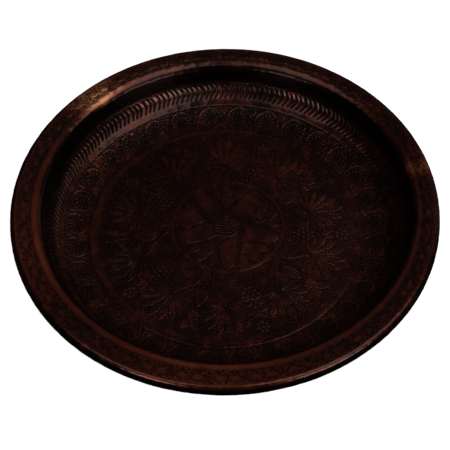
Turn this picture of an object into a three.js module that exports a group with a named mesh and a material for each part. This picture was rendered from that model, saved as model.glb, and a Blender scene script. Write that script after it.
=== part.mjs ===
// A large round hammered copper tray, in millimetres, +Z up.
// The origin is the middle of the flat underside, which is the face it stands on.
//
// tray_sheet  one beaten sheet: flat floor, dished border, steep wall, sloping rim,
//             turned-down lip, and the curl at the foot of the lip
// edge_wire   the stiffening wire that the curl is wrapped round, an open ring
//             whose two ends meet at a small gap

import * as THREE from 'three';

// Driving dimensions
const SHEET = 1.2;              // thickness of the copper
const WIRE_RADIUS = 1.5;
const WIRE_CLEARANCE = 0.3;     // between the wire and the copper wrapped round it
const WIRE_END_GAP = 3;         // between the two ends of the wire, along the ring

// Corners of the sheet's middle line: [radius, rise above the floor]
const FLOOR_EDGE = [138, 0];    // where the flat floor starts to rise
const BORDER_EDGE = [170, 7];   // outer edge of the dished border
const WALL_FOOT = [184.2, 25.5];
const WALL_TOP = [185.4, 32];
const RIM_INNER = [196, 42.2];
const RIM_OUTER = [208, 44.4];  // the rim slopes gently up towards the outside
const LIP_TOP = [216, 40];
const LIP_FOOT = [216.4, 35.4];
const CURL_TURN = 240;          // degrees of wire that the curl covers

// The well was beaten a little off the rim's centre. The shift grows between the first
// two radii and dies away between the second two.
const WELL_SHIFT = { by: [2, 5.5], grows: [150, 182], fades: [190, 208] };

// The curves between those corners: the two points that pull each one, and its flats
const BORDER_CURVE = { pulls: [[150, 0], [161, 2.6]], flats: 3 };
const COVE_CURVE = { pulls: [[177.5, 10.7], [183, 17]], flats: 5 };
const BEND_CURVE = { pulls: [[186.5, 38.2], [189.6, 41]], flats: 4 };
const SHOULDER_CURVE = { pulls: [[212.5, 45.2], [215.8, 45]], flats: 4 };
const CURL_FLATS = 10;

const TURNING_FLATS = 64;       // flats round every ring
const WIRE_SIDES = 8;           // flats round the wire itself

const HALF_SHEET = SHEET / 2;
const CURL_RADIUS = WIRE_RADIUS + WIRE_CLEARANCE + HALF_SHEET;
const WIRE_RING_RADIUS = LIP_FOOT[0] - CURL_RADIUS;
const WIRE_HEIGHT = LIP_FOOT[1] + HALF_SHEET;

// The sheet's middle line from the centre of the floor to the free edge inside the
// curl, as stretches of [curve, number of flats]
function middleLine() {
  const at = ([radius, rise]) => new THREE.Vector2(radius, rise + HALF_SHEET);
  const line = (from, to) => [new THREE.LineCurve(at(from), at(to)), 1];
  const bend = (from, { pulls: [first, second], flats }, to) => [
    new THREE.CubicBezierCurve(at(from), at(first), at(second), at(to)), flats,
  ];
  const curl = new THREE.EllipseCurve(
    WIRE_RING_RADIUS, WIRE_HEIGHT, CURL_RADIUS, CURL_RADIUS,
    0, THREE.MathUtils.degToRad(-CURL_TURN), true,
  );
  return [
    line([0, 0], FLOOR_EDGE),
    bend(FLOOR_EDGE, BORDER_CURVE, BORDER_EDGE),
    bend(BORDER_EDGE, COVE_CURVE, WALL_FOOT),
    line(WALL_FOOT, WALL_TOP),
    bend(WALL_TOP, BEND_CURVE, RIM_INNER),
    line(RIM_INNER, RIM_OUTER),
    bend(RIM_OUTER, SHOULDER_CURVE, LIP_TOP),
    line(LIP_TOP, LIP_FOOT),
    [curl, CURL_FLATS],
  ];
}

// Half the sheet's thickness to each side of the middle line gives its two faces.
// The profile runs out along one face, round the free edge and back along the other.
function sheetProfile() {
  const under = [];
  const upper = [];
  middleLine().forEach(([curve, flats], stretch) => {
    for (let step = stretch === 0 ? 0 : 1; step <= flats; step += 1) {
      const point = curve.getPoint(step / flats);
      const tangent = curve.getTangent(step / flats);
      const across = new THREE.Vector2(-tangent.y, tangent.x).multiplyScalar(HALF_SHEET);
      upper.push(point.clone().add(across));
      under.push(point.clone().sub(across));
    }
  });
  return [...under, ...upper.reverse()];
}

// The wire's centre line: almost a full turn, level, starting beside its own end
class WireRing extends THREE.Curve {
  getPoint(t, target = new THREE.Vector3()) {
    const halfGap = WIRE_END_GAP / 2 / WIRE_RING_RADIUS;
    const angle = THREE.MathUtils.lerp(halfGap, 2 * Math.PI - halfGap, t);
    return target.set(
      WIRE_RING_RADIUS * Math.cos(angle), WIRE_RING_RADIUS * Math.sin(angle), WIRE_HEIGHT,
    );
  }
}

// Moves the wall of the round sheet off centre, and leaves the floor and the rim
function shiftWell(geometry) {
  const { by, grows, fades } = WELL_SHIFT;
  const points = geometry.getAttribute('position');
  for (let i = 0; i < points.count; i += 1) {
    const radius = Math.hypot(points.getX(i), points.getY(i));
    const share = THREE.MathUtils.smoothstep(radius, ...grows)
      - THREE.MathUtils.smoothstep(radius, ...fades);
    points.setXY(i, points.getX(i) + share * by[0], points.getY(i) + share * by[1]);
  }
}

function makeTraySheet() {
  const copper = new THREE.MeshStandardMaterial({
    color: 0x4a2a20, metalness: 1, roughness: 0.42,
  });
  const geometry = new THREE.LatheGeometry(sheetProfile(), TURNING_FLATS);
  geometry.rotateX(Math.PI / 2);
  shiftWell(geometry);
  const sheet = new THREE.Mesh(geometry, copper);
  sheet.name = 'tray_sheet';
  return sheet;
}

function makeEdgeWire() {
  const iron = new THREE.MeshStandardMaterial({
    color: 0x2b2725, metalness: 1, roughness: 0.6,
  });
  const section = new THREE.Shape();
  section.absarc(0, 0, WIRE_RADIUS, 0, 2 * Math.PI);
  const geometry = new THREE.ExtrudeGeometry(section, {
    steps: TURNING_FLATS,
    curveSegments: WIRE_SIDES / 2,
    bevelEnabled: false,
    extrudePath: new WireRing(),
  });
  const wire = new THREE.Mesh(geometry, iron);
  wire.name = 'edge_wire';
  return wire;
}

const tray = new THREE.Group();
tray.add(makeTraySheet(), makeEdgeWire());

export default tray;
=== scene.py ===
"""The looks of a large round hammered copper tray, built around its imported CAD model.

The tray is one beaten sheet: a chased field and border, a wall with a ring of
crescents, a sloping rim and a turned-down lip. Every chased line, ring-punch mark
and hammer dent is real relief in the mesh. Lengths are in millimetres until a mesh
is made, angles round the tray in degrees from +X.
"""
import math

import bpy
import numpy as np
from mathutils import Matrix, Vector


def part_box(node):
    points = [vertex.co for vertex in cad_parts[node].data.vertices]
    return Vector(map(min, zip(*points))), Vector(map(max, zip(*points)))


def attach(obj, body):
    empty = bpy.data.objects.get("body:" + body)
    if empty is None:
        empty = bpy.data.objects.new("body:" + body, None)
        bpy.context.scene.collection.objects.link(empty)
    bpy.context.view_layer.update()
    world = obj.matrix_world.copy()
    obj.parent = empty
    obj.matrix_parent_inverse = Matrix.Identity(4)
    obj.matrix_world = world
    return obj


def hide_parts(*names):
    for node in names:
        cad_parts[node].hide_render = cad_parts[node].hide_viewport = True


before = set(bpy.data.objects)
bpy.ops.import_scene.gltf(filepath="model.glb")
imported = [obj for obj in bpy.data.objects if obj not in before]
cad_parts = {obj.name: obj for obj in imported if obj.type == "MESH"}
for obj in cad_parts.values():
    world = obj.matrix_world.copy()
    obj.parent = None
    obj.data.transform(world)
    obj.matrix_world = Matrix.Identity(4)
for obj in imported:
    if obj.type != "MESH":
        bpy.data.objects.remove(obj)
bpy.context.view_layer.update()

MM = 0.001
TURN = 2 * math.pi
CELL = 0.25                     # cell size of the maps that the relief is worked on
DENSITY = 2

# The sheet's section, as in the CAD model
OUTER_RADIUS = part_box("tray_sheet")[1][0] / MM
SHEET = 1.2
HALF_SHEET = SHEET / 2
FLOOR_RADIUS = 138
BORDER = (170, 7)               # radius and rise of the border's outer edge
WALL_FOOT = (184.2, 25.5)
WALL_TOP = (185.4, 32)
RIM_INNER = (196, 42.2)
RIM_OUTER = (208, 44.4)
LIP_TOP = (216, 40)
BORDER_PULLS = (150, 0), (161, 2.6)
COVE_PULLS = (177.5, 10.7), (183, 17)
BEND_PULLS = (186.5, 38.2), (189.6, 41)
SHOULDER_PULLS = (212.5, 45.2), (215.8, 45)
WELL_SHIFT, SHIFT_GROWS, SHIFT_FADES = (2, 5.5), (150, 182), (190, 208)
CURL_RADIUS = 2.4
LIP_RADIUS = OUTER_RADIUS - HALF_SHEET
CURL_RISE = 35.4
CURL_TURN = math.radians(240)
WIRE_RADIUS = 1.5
WIRE_GAP = 3

chance = np.random.default_rng(11)


# ---------------------------------------------------------------- the section

def bezier(start, pull_start, pull_end, end, steps=400):
    t = np.linspace(0, 1, steps)[:, None]
    pins = [np.array(p, float) for p in (start, pull_start, pull_end, end)]
    weights = ((1 - t) ** 3, 3 * t * (1 - t) ** 2, 3 * t * t * (1 - t), t ** 3)
    return sum(w * p for w, p in zip(weights, pins))


def straight(start, end, steps=400):
    return bezier(start, start, end, end, steps)


def curl():
    turn = -np.linspace(0, CURL_TURN, 400)
    middle = LIP_RADIUS - CURL_RADIUS
    return np.c_[middle + CURL_RADIUS * np.cos(turn), CURL_RISE + CURL_RADIUS * np.sin(turn)]


class Section:
    """The sheet's middle line, by the distance travelled along it from the centre."""

    def __init__(self):
        floor_edge = (FLOOR_RADIUS, 0)
        lip_foot = (LIP_RADIUS, CURL_RISE)
        stretches = {
            "floor": straight((0, 0), floor_edge),
            "border": bezier(floor_edge, *BORDER_PULLS, BORDER),
            "cove": bezier(BORDER, *COVE_PULLS, WALL_FOOT),
            "wall": straight(WALL_FOOT, WALL_TOP),
            "bend": bezier(WALL_TOP, *BEND_PULLS, RIM_INNER),
            "rim": straight(RIM_INNER, RIM_OUTER),
            "shoulder": bezier(RIM_OUTER, *SHOULDER_PULLS, LIP_TOP),
            "lip": straight(LIP_TOP, lip_foot),
            "curl": curl(),
        }
        points = np.concatenate([s[:-1] for s in stretches.values()] + [curl()[-1:]])
        steps = np.hypot(*np.diff(points, axis=0).T)
        travelled = np.r_[0, np.cumsum(steps)]
        self.length = travelled[-1]
        self.travelled = np.arange(0, self.length, 0.1)
        self.radius, self.rise = (
            np.interp(self.travelled, travelled, points[:, i]) for i in (0, 1)
        )
        self.slope_out, self.slope_up = (
            self.smooth(np.gradient(line)) for line in (self.radius, self.rise)
        )
        self.ends = {}
        count = 0
        for name, stretch in stretches.items():
            count += len(stretch) - 1
            self.ends[name] = travelled[min(count, len(travelled) - 1)]

    @staticmethod
    def smooth(line, reach=5):
        padded = np.pad(line, reach, mode="edge")
        return np.convolve(padded, np.full(2 * reach + 1, 1 / (2 * reach + 1)), "valid")

    def at(self, travelled):
        """Radius, rise and the upward normal of the middle line."""
        radius, rise, out, up = (
            np.interp(travelled, self.travelled, line)
            for line in (self.radius, self.rise, self.slope_out, self.slope_up)
        )
        size = np.hypot(out, up)
        return radius, rise, -up / size, out / size


section = Section()
END = section.ends


# ---------------------------------------------------- working the sheet's surface

class Worked:
    """A patch of sheet as maps of what is struck into it.

    u runs along the patch and v across it, in millimetres. depth is how far the
    surface is driven down, plain is 1 where the ground is left standing, and dent
    is the hammer's own marks. A patch that goes round the tray joins up in u.
    """

    def __init__(self, u_range, v_range, joins=False):
        self.joins = joins
        self.u_start, self.v_start = u_range[0], v_range[0]
        self.columns = round((u_range[1] - u_range[0]) / CELL)
        self.rows = round((v_range[1] - v_range[0]) / CELL) + 1
        self.u_step = (u_range[1] - u_range[0]) / self.columns
        self.v_step = CELL
        shape = (self.rows, self.columns)
        self.depth = np.zeros(shape)
        self.plain = np.zeros(shape)
        self.dent = np.full(shape, np.inf)

    def window(self, low, high):
        first = math.floor((low[0] - self.u_start) / self.u_step)
        last = math.ceil((high[0] - self.u_start) / self.u_step)
        columns = np.arange(first, last + 1)
        rows = np.arange(
            max(0, math.floor((low[1] - self.v_start) / self.v_step)),
            min(self.rows, math.ceil((high[1] - self.v_start) / self.v_step) + 1),
        )
        if not self.joins:
            columns = columns[(columns >= 0) & (columns < self.columns)]
        u = self.u_start + columns * self.u_step
        v = self.v_start + rows * self.v_step
        return np.ix_(rows, columns % self.columns), u, v

    def near(self, points, reach):
        """The cells around a run of points, and how far each is from it."""
        points = np.asarray(points, float)
        where, u, v = self.window(points.min(0) - reach, points.max(0) + reach)
        distance = np.full((len(v), len(u)), 4.0 * reach)
        for start, end in zip(points[:-1], points[1:]):
            low, high = np.minimum(start, end) - reach, np.maximum(start, end) + reach
            left, right = np.searchsorted(u, (low[0], high[0]))
            bottom, top = np.searchsorted(v, (low[1], high[1]))
            along = end - start
            du = u[None, left:right] - start[0]
            dv = v[bottom:top, None] - start[1]
            share = np.clip((du * along[0] + dv * along[1]) / max(along @ along, 1e-9), 0, 1)
            gap = np.hypot(du - share * along[0], dv - share * along[1])
            part = distance[bottom:top, left:right]
            np.minimum(part, gap, out=part)
        return where, distance

    def sink(self, where, depth):
        self.depth[where] = np.maximum(self.depth[where], depth)

    def line(self, points, width=0.9, depth=0.3):
        """A chased line: a rounded groove."""
        where, distance = self.near(points, width)
        self.sink(where, depth * np.clip(1 - (2 * distance / width) ** 2, 0, 1))

    def strap(self, points, width, line=0.8, depth=0.32):
        """A plain raised band between two chased lines."""
        where, distance = self.near(points, width)
        self.plain[where] = np.maximum(self.plain[where], distance < width / 2)
        self.depth[where] *= distance >= width / 2
        edge = np.abs(distance - width / 2)
        self.sink(where, depth * np.clip(1 - (2 * edge / line) ** 2, 0, 1))

    def plate(self, outline, line=0.9, depth=0.34):
        """A plain raised shape with a chased outline."""
        outline = np.asarray(outline, float)
        where, u, v = self.window(outline.min(0), outline.max(0))
        inside = np.zeros((len(v), len(u)), bool)
        for (u0, v0), (u1, v1) in zip(outline, np.roll(outline, -1, axis=0)):
            if v0 != v1:
                crosses = (v0 > v[:, None]) != (v1 > v[:, None])
                inside ^= crosses & (u[None, :] < (u1 - u0) * (v[:, None] - v0) / (v1 - v0) + u0)
        self.plain[where] = np.maximum(self.plain[where], inside)
        self.depth[where] *= ~inside
        self.line(np.r_[outline, outline[:1]], line, depth)

    def ring_mark(self, u, v, radius, depth, width=0.5):
        """The mark of a ring punch."""
        reach = radius + 2 * width
        where, across, up = self.window((u - reach, v - reach), (u + reach, v + reach))
        distance = np.hypot(across[None, :] - u, up[:, None] - v)
        self.sink(where, depth * np.exp(-(((distance - radius) / width) ** 2)))

    def dot(self, u, v, radius, depth):
        where, across, up = self.window((u - radius, v - radius), (u + radius, v + radius))
        distance = np.hypot(across[None, :] - u, up[:, None] - v)
        self.sink(where, depth * np.clip(1 - (distance / radius) ** 2, 0, 1))

    def scatter(self, pitch, unevenness):
        """Places in uneven staggered rows, as a hand lays punch marks."""
        width, height = self.columns * self.u_step, self.rows * self.v_step
        count = round(width / pitch)
        for row in range(round(height / (pitch * 0.87))):
            u = self.u_start + (np.arange(count) + row % 2 / 2) * width / count
            v = np.full(count, self.v_start + (row + 0.5) * pitch * 0.87)
            shift = chance.normal(0, unevenness * pitch, (2, count))
            yield from zip(u + shift[0], v + shift[1])

    def is_plain(self, u, v):
        column = int((u - self.u_start) / self.u_step)
        row = min(max(int((v - self.v_start) / self.v_step), 0), self.rows - 1)
        if not self.joins and not 0 <= column < self.columns:
            return True
        return self.plain[row, column % self.columns] > 0.5

    def mat(self, pitch=2.5, radius=0.55, depth=0.42, sunk=0.2):
        """Beats the ground down with a ring punch, wherever it isn't left plain."""
        for u, v in self.scatter(pitch, 0.16):
            if not self.is_plain(u, v):
                size = radius * chance.uniform(0.85, 1.15)
                self.ring_mark(u, v, size, sunk + depth * chance.uniform(0.6, 1.1))
        ground = self.blurred(1 - self.plain, 2) * sunk
        self.depth = np.maximum(self.depth, ground)

    def blurred(self, values, times):
        edge = "wrap" if self.joins else "edge"
        for _ in range(times):
            wide = np.pad(values, ((0, 0), (1, 1)), mode=edge)
            values = (wide[:, :-2] + 2 * wide[:, 1:-1] + wide[:, 2:]) / 4
            tall = np.pad(values, ((1, 1), (0, 0)), mode="edge")
            values = (tall[:-2] + 2 * tall[1:-1] + tall[2:]) / 4
        return values

    def hammer(self, pitch, depth):
        """Overlapping shallow dents, each a facet with a soft ridge around it."""
        sharpness = depth / (pitch / 2) ** 2
        for u, v in self.scatter(pitch, 0.22):
            where, across, up = self.window((u - pitch, v - pitch), (u + pitch, v + pitch))
            square = (across[None, :] - u) ** 2 + (up[:, None] - v) ** 2
            start = chance.uniform(0, 0.35) * depth
            self.dent[where] = np.minimum(self.dent[where], start + sharpness * square)
        self.dent = self.blurred(np.minimum(self.dent, 2 * depth), 4)

    def read(self, values, u, v):
        """The map's value at each u and v, between cells."""
        column = (u - self.u_start) / self.u_step
        row = np.clip((v - self.v_start) / self.v_step, 0, self.rows - 1.001)
        left, bottom = np.floor(column).astype(int), np.floor(row).astype(int)
        right_share, top_share = column - left, row - bottom
        right = left + 1
        if self.joins:
            left, right = left % self.columns, right % self.columns
        else:
            left, right = (np.clip(c, 0, self.columns - 1) for c in (left, right))
        lower = values[bottom, left] * (1 - right_share) + values[bottom, right] * right_share
        upper = values[bottom + 1, left] * (1 - right_share) + values[bottom + 1, right] * right_share
        return lower * (1 - top_share) + upper * top_share


def arc(centre, radius, start, end, steps=24):
    """Points on an arc, from one angle in degrees to another."""
    turn = np.radians(np.linspace(start, end, steps))
    return np.c_[centre[0] + radius * np.cos(turn), centre[1] + radius * np.sin(turn)]


def placed(points, origin, heading, size=1):
    """Points drawn along +X, turned to a heading in degrees and moved to an origin."""
    cos, sin = math.cos(math.radians(heading)), math.sin(math.radians(heading))
    points = np.asarray(points, float) * size
    return np.c_[points @ (cos, -sin), points @ (sin, cos)] + origin


def polar(radius, angle):
    return np.array((radius * math.cos(math.radians(angle)), radius * math.sin(math.radians(angle))))


# ------------------------------------------------------------------- motifs

LEAF_FINGERS = (105, 84, 63, 42, 21, 0)   # degrees each side of the midrib, outermost first


def leaf(patch, origin, heading, size):
    """A fan-shaped leaf of narrow pointed fingers."""
    for turn in LEAF_FINGERS:
        length = size * (1 - 0.42 * (turn / 105) ** 1.4)
        for side in ((1, -1) if turn else (1,)):
            finger(patch, origin, heading + side * turn, length)


def mirrored(t, half):
    """A closed outline along +X from its half widths."""
    return np.r_[np.c_[t, half], np.c_[t, -np.asarray(half)][::-1][1:-1]]


def finger(patch, origin, heading, length):
    """A pointed finger, hatched on both sides of its midrib."""
    outline = mirrored((0, 0.2, 0.42, 0.62, 0.72, 0.86, 1), (0.01, 0.05, 0.08, 0.095, 0.115, 0.07, 0))
    patch.plate(placed(outline, origin, heading, length), 1.1, 0.5)
    for share in np.arange(0.4, 0.9, 0.1):
        for side in (-1, 1):
            hatch = [(share, side * 0.025), (share + 0.06, side * 0.075)]
            patch.line(placed(hatch, origin, heading, length), 0.8, 0.44)


def bud(patch, origin, heading, size):
    """A pointed bud with slanting hatching on both sides of its midrib."""
    fine = min(1, size / 24)
    t = np.linspace(0, 1, 14)
    outline = mirrored(t, 0.27 * np.sin(math.pi * t ** 0.8))
    patch.plate(placed(outline, origin, heading, size), 1.1 * fine, 0.6)
    for share in np.arange(0.18, 0.82, 0.13):
        reach = 0.19 * math.sin(math.pi * share)
        for side in (-1, 1):
            hatch = [(share + 0.04, side * 0.03), (share + 0.7 * reach, side * reach)]
            patch.line(placed(hatch, origin, heading, size), 0.9 * fine, 0.45)


def cluster(patch, origin, heading, size):
    """A bunch of ring-punched berries that narrows to its tip."""
    pitch = size / 5
    rows = (2, 3, 4, 3, 2, 1)
    for row, count in enumerate(rows):
        for place in range(count):
            berry = ((row + 0.4) * pitch * 0.9, (place - (count - 1) / 2) * pitch)
            u, v = placed([berry], origin, heading)[0]
            patch.plate(arc((u, v), pitch * 0.4, 0, 345, 14), 0.9, 0.65)
            patch.dot(u, v, 0.8, 0.55)


def rosette(patch, origin, radius, petals):
    """A flower of round petals about a ring."""
    origin = np.asarray(origin, float)
    for petal in range(petals):
        centre = origin + polar(radius * 0.62, 360 * petal / petals)
        patch.plate(arc(centre, radius * 0.3, 0, 345, 14), 0.9, 0.6)
        patch.dot(*centre, 0.8, 0.5)
    patch.plate(arc(origin, radius * 0.28, 0, 345, 14), 0.9, 0.6)
    patch.dot(*origin, 0.9, 0.5)


def scroll(patch, origin, heading, size, hand):
    """A spiral tendril."""
    turn = np.linspace(0, 1.35 * TURN, 36)
    reach = 0.42 * (1 - turn / (1.7 * TURN))
    spiral = np.c_[0.5 + reach * np.cos(math.pi + hand * turn), reach * np.sin(math.pi + hand * turn)]
    patch.line(placed(spiral, origin, heading, size), 1.0, 0.55)


# -------------------------------------------------------------- chased layouts

STAR_CENTRE = np.array((2.4, 10.5))
STAR_ARMS = [72 * arm - 18 for arm in range(5)]
STAR_DISC = 14
STAR_RING = 57
DISC_SCALES = ((3.4, 6), (6.8, 11), (10.6, 16))     # rings of scales: radius, how many
LEAVES = 10
LEAN = 8                        # degrees that each leaf leans, turn about
LEAF_FOOT, LEAF_SIZE = 90, 38   # how far out the leaves start, and their length
FRUIT_FOOT = 68                 # how far out the bunches and long buds start
FLOWERS_AT = 119
FIELD_CENTRE = np.array((3, 1))
FIELD_EDGE = 133.5              # where the plain ring round the chased field starts


def chased_field():
    """The floor: a star in a ring, and leaves, bunches and stems round it."""
    patch = Worked((-FLOOR_RADIUS, FLOOR_RADIUS), (-FLOOR_RADIUS, FLOOR_RADIUS))
    star(patch)
    vine(patch)
    patch.strap(arc(STAR_CENTRE, STAR_RING, 0, 360, 181), 4.2, 1.1, 0.4)
    patch.line(arc(FIELD_CENTRE, FIELD_EDGE, 0, 360, 241), 1.1, 0.4)
    beyond = np.hypot(*np.meshgrid(
        patch.u_start + np.arange(patch.columns) * patch.u_step - FIELD_CENTRE[0],
        patch.v_start + np.arange(patch.rows) * patch.v_step - FIELD_CENTRE[1],
    )) > FIELD_EDGE
    patch.plain[beyond] = 1
    patch.mat()
    patch.hammer(11, 0.11)
    return patch


def star(patch):
    """Five broad plain arms about a scaled disc, with hatched leaves in the cells between."""
    arm_outline = mirrored((12, 24, 38, 50, 55), (8, 10, 9, 6.5, 0))
    for angle in STAR_ARMS:
        middle = angle - 36
        bud(patch, STAR_CENTRE + polar(24, middle), middle, 32)
        for side in (-1, 1):
            bud(patch, STAR_CENTRE + polar(35, middle + 13 * side), middle + 24 * side, 19)
        patch.plate(placed(arm_outline, STAR_CENTRE, angle), 1.3, 0.45)
    patch.plate(arc(STAR_CENTRE, STAR_DISC, 0, 355, 60), 1.3, 0.6)
    for ring, count in DISC_SCALES:
        for place in range(count):
            centre = STAR_CENTRE + polar(ring, 360 * (place + ring / 10) / count)
            patch.line(arc(centre, 1.5, 20, 200, 8), 1.2, 0.6)


def vine(patch):
    """Stems that leave the star's ring for a round of leaves, with fruit between."""
    for place in range(LEAVES):
        angle = 18 + 360 / LEAVES * place
        between = angle + 180 / LEAVES
        lean = LEAN if place % 2 else -LEAN
        stem = bezier(STAR_CENTRE + polar(STAR_RING + 2, angle - 1.7 * lean),
                      polar(74, angle - 1.9 * lean), polar(77, angle), polar(LEAF_FOOT, angle), 14)
        patch.strap(stem, 2.8, 1.1, 0.4)
        leaf(patch, polar(LEAF_FOOT, angle), angle + lean, LEAF_SIZE)
        if place % 2:
            cluster(patch, polar(FRUIT_FOOT, between), between, 27)
            rosette(patch, polar(FLOWERS_AT, between), 8.5, 7)
        else:
            bud(patch, polar(FRUIT_FOOT, between), between, 28)
            for side in (-1, 1):
                bud(patch, polar(107, between), between + side * 26, 19)
        for side in (-1, 1):
            bud(patch, polar(98, between), between + side * 20, 13)


class Band(Worked):
    """A worked band that goes right round the tray at about one radius."""

    def __init__(self, start, end):
        radius = section.at((start + end) / 2)[0]
        self.start, self.end = start, end
        self.round = TURN * radius
        super().__init__((0, self.round), (start, end), joins=True)

    def along(self, angle):
        return self.round * angle / 360

    def circle(self, v):
        return np.c_[np.linspace(0, self.round, 9), np.full(9, v)]


SHELLS = 32
ARCH = 12.2                     # radius of the plain arch round each shell


def chased_border():
    """A row of round shells under plain arches, with buds between and plain margins."""
    band = Band(FLOOR_RADIUS, END["border"] + 2)
    low, high = band.start + 1.5, band.start + 28.5
    middle = (low + high) / 2
    for place in range(SHELLS):
        centre = band.along(360 / SHELLS * (place + 0.5))
        medallion(band, (centre, middle))
        band.strap(arc((centre, middle), ARCH, -50, 230, 40), 2.2, 0.9, 0.34)
        between = centre + band.round / SHELLS / 2
        bud(band, (between, low + 1.5), 90, 9)
        bud(band, (between, high - 1), -90, 9)
    for v in (low, high):
        band.line(band.circle(v), 1.1, 0.5)
    level = band.v_start + np.arange(band.rows) * band.v_step
    band.plain[(level < low) | (level > high)] = 1
    band.mat(2.4)
    band.hammer(10, 0.1)
    return band


def medallion(band, centre):
    """A shell of beaded petals round a rosette."""
    for turn in range(-126, 127, 28):
        foot = placed([polar(4.6, turn)], centre, 90)[0]
        petal(band, foot, 90 + turn, 6)
    rosette(band, centre, 4.2, 5)


def petal(patch, origin, heading, size):
    t = np.linspace(0, 1, 10)
    outline = mirrored(t, 0.22 * np.sqrt(np.sin(math.pi * t ** 1.4).clip(0)))
    patch.plate(placed(outline, origin, heading, size), 1.0, 0.8)
    patch.dot(*placed([(0.62, 0)], origin, heading, size)[0], 0.9, 0.55)


CRESCENTS = 208
CRESCENT_HEIGHT, CRESCENT_BOW = 14, 3.4
# Each crescent is one deep stroke that fades to one side: shift, width, depth
CRESCENT_STROKES = ((0, 1.4, 1.0), (0.7, 1.7, 0.6), (1.4, 1.9, 0.3), (2.1, 2.0, 0.12))


def chased_wall():
    """A ring of crescents struck side by side into the cove, with small hooks above."""
    band = Band(END["border"] + 2, END["wall"] + 3)
    band.plain[:] = 1
    low = band.start + 0.8
    for place in range(CRESCENTS):
        centre = band.along(360 * (place + chance.uniform(-0.1, 0.1)) / CRESCENTS)
        tall = CRESCENT_HEIGHT * chance.uniform(0.95, 1.05)
        foot = low + chance.uniform(-0.4, 0.4)
        bow = np.linspace(-1, 1, 15)
        edge = np.c_[centre - CRESCENT_BOW * (1 - bow ** 2), foot + tall * (bow + 1) / 2]
        for shift, width, depth in CRESCENT_STROKES:
            band.line(edge + (shift, 0), width, depth)
        for shift in (0, band.round / CRESCENTS / 2):
            hook = np.c_[centre + shift - 1.6 * (1 - bow ** 2), foot + tall + 1.6 + 2.4 * (bow + 1)]
            band.line(hook, 1.2, 0.55)
    band.hammer(9, 0.08)
    return band


RIM_MEDALLIONS = 36


def chased_rim():
    """Pointed leaves and rosettes among scrolls on a matted ground, outside a plain margin."""
    band = Band(END["wall"] + 3, END["shoulder"])
    inner, outer = END["bend"] + 1.5, END["rim"] + 2.5
    middle = (inner + outer) / 2
    for place in range(RIM_MEDALLIONS):
        centre = band.along(360 * (place + 0.5) / RIM_MEDALLIONS)
        rosette(band, (centre, middle), 4.4, 6)
        for side in (-1, 1):
            tip = 90 - 90 * side
            bud(band, (centre + side * 5.5, middle), tip, 11)
            for lift in (-4.4, 4.4):
                scroll(band, (centre + side * 6.5, middle + lift), tip, 5, side)
            bud(band, (centre, middle + side * 4), 90 * side, 4)
    for v in (inner, outer):
        band.line(band.circle(v), 1.0, 0.5)
    level = band.v_start + np.arange(band.rows) * band.v_step
    band.plain[(level < inner) | (level > outer)] = 1
    band.mat(2.2, 0.5, 0.45, 0.18)
    band.hammer(9, 0.1)
    return band


def hammered_lip():
    band = Band(END["shoulder"], section.length)
    band.plain[:] = 1
    band.hammer(7, 0.12)
    return band


# ------------------------------------------------------------ the sheet's surface

def sway(angle, harmonics, phase):
    """A slow unevenness round the tray, from 0 to 1."""
    total = sum(np.cos(n * angle + phase * n * n) / n for n in harmonics)
    size = sum(1 / n for n in harmonics)
    return 0.5 + 0.5 * total / size


def blend(values, low, high):
    share = np.clip((values - low) / (high - low), 0, 1)
    return share * share * (3 - 2 * share)


RIM_DROP = 0.6                  # how far the hand-made rim dips at its lowest
RIM_PULL = 0.5                  # how far it falls short of the full radius
LIP_WAVE = 0.5                  # unevenness of the lip's lower edge
LOOSE_FROM, LOOSE_TO = 150, 205  # radii between which the sheet grows uneven


def unevenness(radius, angle):
    """How far the sheet is lowered, pulled in and waved along its lip."""
    loose = blend(radius, LOOSE_FROM, LOOSE_TO)
    return (
        RIM_DROP * sway(angle, (2, 3, 5, 9), 1.3) * loose,
        RIM_PULL * sway(angle, (2, 4, 7, 13), 0.4) * loose,
        LIP_WAVE * sway(angle, (17, 29, 41), 2.1),
    )


class Surface:
    """Where each point of the sheet lies once it has been worked and knocked about."""

    RELIEF = 0.65               # how much of each mark's depth is left after years of wear

    def __init__(self):
        self.field = chased_field()
        self.bands = [chased_border(), chased_wall(), chased_rim(), hammered_lip()]

    def struck(self, travelled, angle):
        """Depth of the chasing, depth of the dents, and how plain the surface is."""
        depth, dent, plain = (np.zeros_like(travelled) for _ in range(3))
        u, v = travelled * np.cos(angle), travelled * np.sin(angle)
        patches = [(self.field, travelled < FLOOR_RADIUS, u, v)]
        for band in self.bands:
            here = (travelled >= band.start) & (travelled < band.end)
            patches.append((band, here, angle / TURN * band.round, travelled))
        for patch, here, u, v in patches:
            for target, values in ((depth, patch.depth), (dent, patch.dent), (plain, patch.plain)):
                target[here] = patch.read(values, u[here], v[here])
        return depth, dent, plain

    def place(self, travelled, angle, side):
        """Points of the upper (side 1) or under (side -1) face, and what shows on them."""
        radius, rise, across, upward = section.at(travelled)
        depth, dent, plain = self.struck(travelled, angle)
        seam = blend(travelled, section.length - 6, section.length - 1)
        drop = dent * (1 - seam) + (self.RELIEF * depth * (1 - seam) if side > 0 else 0)
        if side < 0:
            drop = drop * blend(travelled, FLOOR_RADIUS, FLOOR_RADIUS + 12)
        offset = side * HALF_SHEET - drop
        lowered, pulled, hem = unevenness(radius, angle)
        hem = hem * blend(travelled, END["shoulder"], END["lip"])
        out = radius + across * offset - pulled
        height = rise + HALF_SHEET + upward * offset - lowered + hem
        shift = blend(radius, *SHIFT_GROWS) - blend(radius, *SHIFT_FADES)
        points = np.c_[
            out * np.cos(angle) + shift * WELL_SHIFT[0],
            out * np.sin(angle) + shift * WELL_SHIFT[1],
            height,
        ] * MM
        return points, depth, plain


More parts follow.
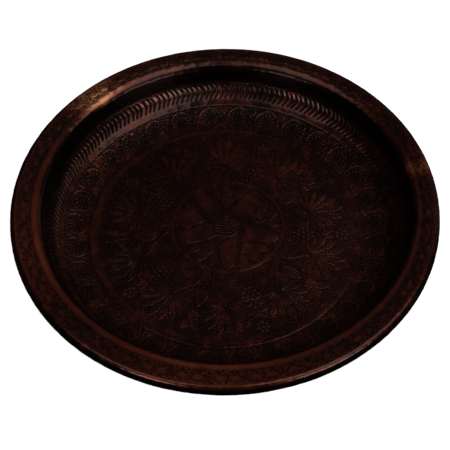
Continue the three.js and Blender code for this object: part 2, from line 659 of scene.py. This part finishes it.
def ring_count(travelled):
    """How many points go round at this distance, halved wherever they would crowd."""
    full = 1024 * DENSITY
    radius = section.at(travelled)[0]
    for limit, share in ((25, 8), (50, 4), (100, 2)):
        if radius < limit:
            return full // share
    return full


def ring_places():
    """The rings of the upper face from the centre out, then of the under face back."""
    fine = 1.0 / DENSITY
    upper = np.r_[
        np.arange(fine, END["shoulder"], fine),
        np.arange(END["shoulder"], section.length - 0.3, 0.8),
    ]
    under = np.r_[
        np.arange(section.length - 0.3, END["shoulder"], -1.2),
        np.arange(END["shoulder"], 2, -3.0),
    ]
    return [(place, 1) for place in upper] + [(section.length - 0.05, 1)] + [
        (place, -1) for place in under
    ]


def stitch(first, count, following, following_count):
    """Triangles and squares that join one ring of points to the next."""
    k = np.arange(max(count, following_count))
    if count == following_count:
        after = (k + 1) % count
        return [], np.c_[first + k, following + k, following + after, first + after]
    wide = count < following_count
    few, many = (first, following) if wide else (following, first)
    small = min(count, following_count)
    k = np.arange(small)
    left, right = few + k, few + (k + 1) % small
    start, middle, end = (many + (2 * k + step) % (2 * small) for step in (0, 1, 2))
    fans = (left, start, middle), (left, middle, right), (right, middle, end)
    triangles = np.concatenate([np.c_[fan] for fan in fans])
    return triangles if wide else triangles[:, ::-1], []


def filled(centre, first, count, facing):
    k = np.arange(count)
    fan = np.c_[np.full(count, centre), first + k, first + (k + 1) % count]
    return fan if facing > 0 else fan[:, ::-1]


def mesh_from(name, points, triangles, squares):
    mesh = bpy.data.meshes.new(name)
    corners = np.r_[triangles.ravel(), squares.ravel()]
    sizes = np.r_[np.full(len(triangles), 3), np.full(len(squares), 4)]
    mesh.vertices.add(len(points))
    mesh.vertices.foreach_set("co", points.ravel())
    mesh.loops.add(len(corners))
    mesh.loops.foreach_set("vertex_index", corners)
    mesh.polygons.add(len(sizes))
    mesh.polygons.foreach_set("loop_start", np.r_[0, np.cumsum(sizes)[:-1]])
    mesh.polygons.foreach_set("loop_total", sizes)
    mesh.update(calc_edges=True)
    mesh.shade_smooth()
    return mesh


def keep(mesh, name, values):
    mesh.attributes.new(name, "FLOAT", "POINT").data.foreach_set("value", values.astype(np.float32))


def make_sheet():
    """The whole beaten sheet as one closed mesh, with its relief."""
    surface = Surface()
    rings = ring_places()
    counts = [ring_count(place) for place, _ in rings]
    firsts = np.r_[1, 1 + np.cumsum(counts)]
    travelled = np.concatenate([np.full(n, place) for n, (place, _) in zip(counts, rings)])
    side = np.concatenate([np.full(n, face) for n, (_, face) in zip(counts, rings)])
    angle = np.concatenate([np.arange(n) * TURN / n for n in counts])
    points = np.zeros((len(travelled) + 2, 3))
    struck, plain, upper = (np.zeros(len(points)) for _ in range(3))
    for face in (1, -1):
        here = np.flatnonzero(side == face)
        points[here + 1], struck[here + 1], plain[here + 1] = surface.place(
            travelled[here], angle[here], face
        )
        upper[here + 1] = face > 0
    points[0] = (0, 0, points[1:1 + counts[0], 2].mean())
    points[-1] = (0, 0, points[firsts[-2]:firsts[-2] + counts[-1], 2].mean())
    plain[0] = upper[0] = 1
    triangles = [filled(0, 1, counts[0], 1)]
    squares = []
    for ring in range(len(rings) - 1):
        some, more = stitch(firsts[ring], counts[ring], firsts[ring + 1], counts[ring + 1])
        triangles += [some] if len(some) else []
        squares += [more] if len(more) else []
    triangles.append(filled(len(points) - 1, firsts[-2], counts[-1], -1))
    mesh = mesh_from("tray", points, np.concatenate(triangles), np.concatenate(squares))
    keep(mesh, "struck", struck * upper)
    keep(mesh, "plain", plain)
    keep(mesh, "upper", upper)
    # Painted shade on the upper wall and lip, and a darker patch on the floor
    keep(mesh, "shade_and_dark_patch_share", np.r_[0, shade_and_dark_patch(travelled, angle), 0] * upper)
    keep(mesh, "worn", np.r_[0, wear(travelled, angle), 0] * upper)
    sheet = bpy.data.objects.new("tray", mesh)
    bpy.context.collection.objects.link(sheet)
    return sheet


# Where hands have rubbed the rim back to bare copper: degrees round the tray, spread
# in degrees, and how far the patina is gone
RUBBED = ((132, 7, 1.0), (193, 20, 0.24), (-97, 24, 0.27), (14, 2.5, 0.55))


def wear(travelled, angle):
    """How far the patina is rubbed away: patches on the rim, and along the bead and the shoulder."""
    degrees = np.degrees(angle)
    rim = blend(travelled, END["wall"], END["bend"]) * (1 - blend(travelled, END["rim"], END["lip"]))
    patches = np.zeros_like(travelled)
    for middle, spread, strength in RUBBED:
        off = (degrees - middle + 180) % 360 - 180
        patches = np.maximum(patches, strength * np.exp(-((off / spread) ** 2)))
    bead = np.exp(-(((travelled - END["bend"] + 2) / 2.5) ** 2))
    shoulder = np.exp(-(((travelled - END["rim"] - 2) / 2.5) ** 2))
    return np.clip(patches * rim + 0.14 * bead + 0.12 * shoulder, 0, 1)


# A darker patch of the floor: its middle, and how far it spreads
DARK_PATCH = (-75, 60)
DARK_PATCH_SPREAD = 75


def shade_and_dark_patch(travelled, angle):
    """How black the sheet is painted: painted shade on the upper wall and down the lip, and a darker
    patch on the floor.
    """
    wall = blend(travelled, END["cove"] - 8, END["cove"] - 2)
    wall = wall * (1 - blend(travelled, END["bend"] - 9, END["bend"] - 5))
    u, v = travelled * np.cos(angle), travelled * np.sin(angle)
    patch = np.exp(-((u - DARK_PATCH[0]) ** 2 + (v - DARK_PATCH[1]) ** 2) / DARK_PATCH_SPREAD ** 2)
    floor = 0.5 * patch * (1 - blend(travelled, FLOOR_RADIUS - 8, FLOOR_RADIUS))
    # From the shoulder on down the lip, the whole outside is painted shade
    return wall + floor + blend(travelled, END["shoulder"] - 3, END["shoulder"])


def make_wire():
    """The stiffening wire, drawn through the curl as unevenly as the lip that holds it."""
    around, sides = 720, 14
    ring_radius = LIP_RADIUS - CURL_RADIUS
    half_gap = WIRE_GAP / 2 / ring_radius
    angle = np.repeat(np.linspace(half_gap, TURN - half_gap, around), sides)
    turn = np.tile(np.arange(sides) * TURN / sides, around)
    lowered, pulled, hem = unevenness(ring_radius, angle)
    thick = WIRE_RADIUS - 0.04 * sway(angle, (31, 53), 0.7)
    out = ring_radius - pulled + thick * np.cos(turn)
    height = CURL_RISE + HALF_SHEET - lowered + hem + thick * np.sin(turn)
    points = np.c_[out * np.cos(angle), out * np.sin(angle), height] * MM
    ends = [points[:sides].mean(0), points[-sides:].mean(0)]
    squares = []
    k = np.arange(sides)
    for ring in range(around - 1):
        first, following = ring * sides, (ring + 1) * sides
        after = (k + 1) % sides
        squares.append(np.c_[first + k, first + after, following + after, following + k])
    last = len(points)
    triangles = np.r_[filled(last, 0, sides, -1), filled(last + 1, last - sides, sides, 1)]
    mesh = mesh_from("wire", np.r_[points, ends], triangles, np.concatenate(squares))
    wire = bpy.data.objects.new("wire", mesh)
    bpy.context.collection.objects.link(wire)
    return wire


# ---------------------------------------------------------------- materials

class Nodes:
    """Short calls for building a material's node tree."""

    def __init__(self, name):
        self.material = bpy.data.materials.new(name)
        self.material.use_nodes = True
        self.tree = self.material.node_tree
        self.shader = self.tree.nodes["Principled BSDF"]
        self.place = self.add("TexCoord").outputs["Object"]

    def add(self, kind, **settings):
        node = self.tree.nodes.new("ShaderNode" + kind)
        for name, value in settings.items():
            setattr(node, name, value)
        return node

    def feed(self, socket, value):
        if isinstance(value, bpy.types.NodeSocket):
            self.tree.links.new(value, socket)
        else:
            socket.default_value = value

    def noise(self, scale, detail=4, roughness=0.55):
        node = self.add("TexNoise")
        self.feed(node.inputs["Vector"], self.place)
        for name, value in (("Scale", scale), ("Detail", detail), ("Roughness", roughness)):
            node.inputs[name].default_value = value
        return node.outputs["Fac"]

    def kept(self, name):
        return self.add("Attribute", attribute_name=name).outputs["Fac"]

    def math(self, operation, first, second=0.0, clamp=False):
        node = self.add("Math", operation=operation, use_clamp=clamp)
        self.feed(node.inputs[0], first)
        self.feed(node.inputs[1], second)
        return node.outputs[0]

    def spread(self, value, low, high, to_low=0.0, to_high=1.0):
        node = self.add("MapRange")
        for name, part in zip(("Value", "From Min", "From Max", "To Min", "To Max"),
                              (value, low, high, to_low, to_high)):
            self.feed(node.inputs[name], part)
        return node.outputs["Result"]

    def mix(self, share, first, second):
        node = self.add("Mix", data_type="RGBA")
        self.feed(node.inputs["Factor"], share)
        self.feed(node.inputs["A"], first)
        self.feed(node.inputs["B"], second)
        return node.outputs["Result"]

    def bump(self, height, strength, distance, under=None):
        node = self.add("Bump")
        self.feed(node.inputs["Height"], height)
        node.inputs["Strength"].default_value = strength
        node.inputs["Distance"].default_value = distance
        if under:
            self.feed(node.inputs["Normal"], under)
        return node.outputs["Normal"]

    def set(self, **values):
        for name, value in values.items():
            self.feed(self.shader.inputs[name.replace("_", " ")], value)


DARK_PATINA = (0.026, 0.0080, 0.0056, 1)
BROWN_PATINA = (0.070, 0.0200, 0.0125, 1)
RED_PATINA = (0.180, 0.036, 0.018, 1)
BARE_COPPER = (0.62, 0.25, 0.12, 1)
OLD_DIRT = (0.0045, 0.0018, 0.0015, 1)
# Near-black colour of the painted shade on the upper wall and lip, and of the darker floor patch
SHADE_AND_PATCH_BLACK = (0.006, 0.0016, 0.0012, 1)


def old_copper():
    """Near-black brown patina over copper, dirt in the chasing, rubbed high spots, and painted shade on
    the upper wall and lip.
    """
    n = Nodes("old_copper")
    cloudy = n.noise(14, 6)
    mottled = n.noise(65, 5, 0.65)
    grain = n.noise(420, 3, 0.7)
    patina = n.mix(n.spread(cloudy, 0.38, 0.66), DARK_PATINA, BROWN_PATINA)
    patina = n.mix(n.spread(mottled, 0.50, 0.66, 0.0, 0.7), patina, RED_PATINA)
    worn = n.kept("worn")
    patina = n.mix(n.spread(worn, 0.03, 0.25, 0.0, 0.8), patina, RED_PATINA)
    # Paints shade near-black on the upper wall and lip, and darkens a patch of the floor
    patina = n.mix(n.math("MULTIPLY", n.kept("shade_and_dark_patch_share"), 0.9), patina, SHADE_AND_PATCH_BLACK)
    rubbed = n.math("MULTIPLY", n.spread(worn, 0.25, 0.8), n.spread(mottled, 0.36, 0.52), clamp=True)
    speckled = n.math("MULTIPLY", n.kept("plain"), n.spread(grain, 0.66, 0.76, 0.0, 0.3), clamp=True)
    # No bare specks where shade is painted on
    speckled = n.math("MULTIPLY", speckled, n.spread(n.kept("shade_and_dark_patch_share"), 0, 1, 1, 0))
    bare = n.math("MAXIMUM", rubbed, speckled)
    dirt = n.math("MULTIPLY", n.spread(n.kept("struck"), 0.22, 0.46), 0.95, clamp=True)
    colour = n.mix(dirt, n.mix(bare, patina, BARE_COPPER), OLD_DIRT)
    rough = n.spread(mottled, 0.3, 0.7, 0.19, 0.31)
    rough = n.math("ADD", rough, n.math("MULTIPLY", dirt, 0.4))
    fine = n.bump(grain, 0.25, 0.00012)
    pitted = n.bump(n.noise(1500, 2, 0.6), 0.2, 0.00004, fine)
    # Less coat in the chasing's dirt and where shade is painted on
    waxed = n.math("MULTIPLY", n.spread(dirt, 0, 1, 0.3, 0.03), n.spread(n.kept("shade_and_dark_patch_share"), 0, 1, 1, 0.2))
    n.set(Base_Color=colour, Metallic=0.88, Roughness=rough, Normal=pitted,
          Coat_Weight=waxed, Coat_Roughness=0.13, Coat_IOR=1.5)
    return n.material


def drawn_iron():
    """Dull dark drawn wire with a little rust."""
    n = Nodes("drawn_iron")
    rust = n.spread(n.noise(160, 5, 0.6), 0.5, 0.68)
    colour = n.mix(rust, (0.030, 0.027, 0.025, 1), (0.075, 0.026, 0.012, 1))
    rough = n.spread(rust, 0, 1, 0.45, 0.8)
    n.set(Base_Color=colour, Metallic=0.8, Roughness=rough,
          Normal=n.bump(n.noise(900, 3), 0.3, 0.00006))
    return n.material


def pale_floor():
    n = Nodes("pale_floor")
    n.set(Base_Color=(0.86, 0.86, 0.86, 1), Roughness=0.9, Specular_IOR_Level=0.1,
          Emission_Color=(1, 1, 1, 1), Emission_Strength=0.9)
    return n.material


# ------------------------------------------------------------------ the studio

CAMERA_RISE = math.radians(52.9)
CAMERA_TURN = math.radians(-0.6)
CAMERA_AWAY = 2.2
CAMERA_LENS = 172.2
AIM = Vector((0.0, 0.0077, 0.0068))


def make_camera():
    camera = bpy.data.objects.new("camera", bpy.data.cameras.new("camera"))
    bpy.context.collection.objects.link(camera)
    back = Vector((0, -math.cos(CAMERA_RISE), math.sin(CAMERA_RISE)))
    camera.data.lens = CAMERA_LENS
    camera.data.sensor_width = 36
    camera.data.clip_end = 50
    turn = back.to_track_quat("Z", "Y").to_matrix().to_4x4()
    camera.matrix_world = (
        Matrix.Translation(AIM + back * CAMERA_AWAY) @ turn @ Matrix.Rotation(CAMERA_TURN, 4, "Z")
    )
    bpy.context.scene.camera = camera


def make_floor():
    bpy.ops.mesh.primitive_plane_add(size=30, location=(0, 0, -0.0002))
    floor = bpy.context.object
    floor.name = "floor"
    floor.data.materials.append(pale_floor())
    floor.visible_glossy = floor.visible_diffuse = False


def soft_light(name, side, rise, away, size, power):
    """A soft box that looks at the tray, from degrees right of the camera and up."""
    lamp = bpy.data.lights.new(name, "AREA")
    lamp.shape = "RECTANGLE"
    lamp.size, lamp.size_y = size
    lamp.energy = power
    light = bpy.data.objects.new(name, lamp)
    bpy.context.collection.objects.link(light)
    turn, up = math.radians(side - 90), math.radians(rise)
    out = Vector((math.cos(turn) * math.cos(up), math.sin(turn) * math.cos(up), math.sin(up)))
    light.location = out * away
    light.rotation_euler = out.to_track_quat("Z", "Y").to_euler()
    return light


def make_world():
    """Pale to the eye, dim to the tray, as in a tent of cloth with the room dark."""
    world = bpy.data.worlds.new("studio")
    world.use_nodes = True
    tree = world.node_tree
    sky = tree.nodes["Background"]
    path = tree.nodes.new("ShaderNodeLightPath")
    level = tree.nodes.new("ShaderNodeMapRange")
    level.inputs["To Min"].default_value = 0.009
    level.inputs["To Max"].default_value = 0.9
    tree.links.new(path.outputs["Is Camera Ray"], level.inputs["Value"])
    tree.links.new(level.outputs["Result"], sky.inputs["Strength"])
    sky.inputs["Color"].default_value = (1, 1, 1, 1)
    bpy.context.scene.world = world


def make_studio():
    soft_light("high right", 80, 66, 1.6, (1.1, 1.0), 4.4)
    soft_light("high left", -72, 70, 1.6, (0.8, 0.8), 1.8)
    soft_light("low right", 44, 24, 1.6, (0.8, 0.7), 6.6)
    soft_light("low left", -32, 24, 1.6, (0.45, 0.7), 3.6)
    soft_light("back right", 128, 12, 1.6, (0.8, 0.6), 0.4)
    fill = soft_light("fill", 166, 43, 1.8, (1.7, 1.2), 1.0)
    fill.data.color = (1, 0.56, 0.45)
    make_world()
    make_floor()
    bpy.context.scene.view_settings.view_transform = "Standard"


# ------------------------------------------------------------------- assembly

make_camera()
sheet = make_sheet()
sheet.data.materials.append(old_copper())
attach(sheet, "root")
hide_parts("tray_sheet")

wire = make_wire()
wire.data.materials.append(drawn_iron())
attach(wire, "root")
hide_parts("edge_wire")

make_studio()
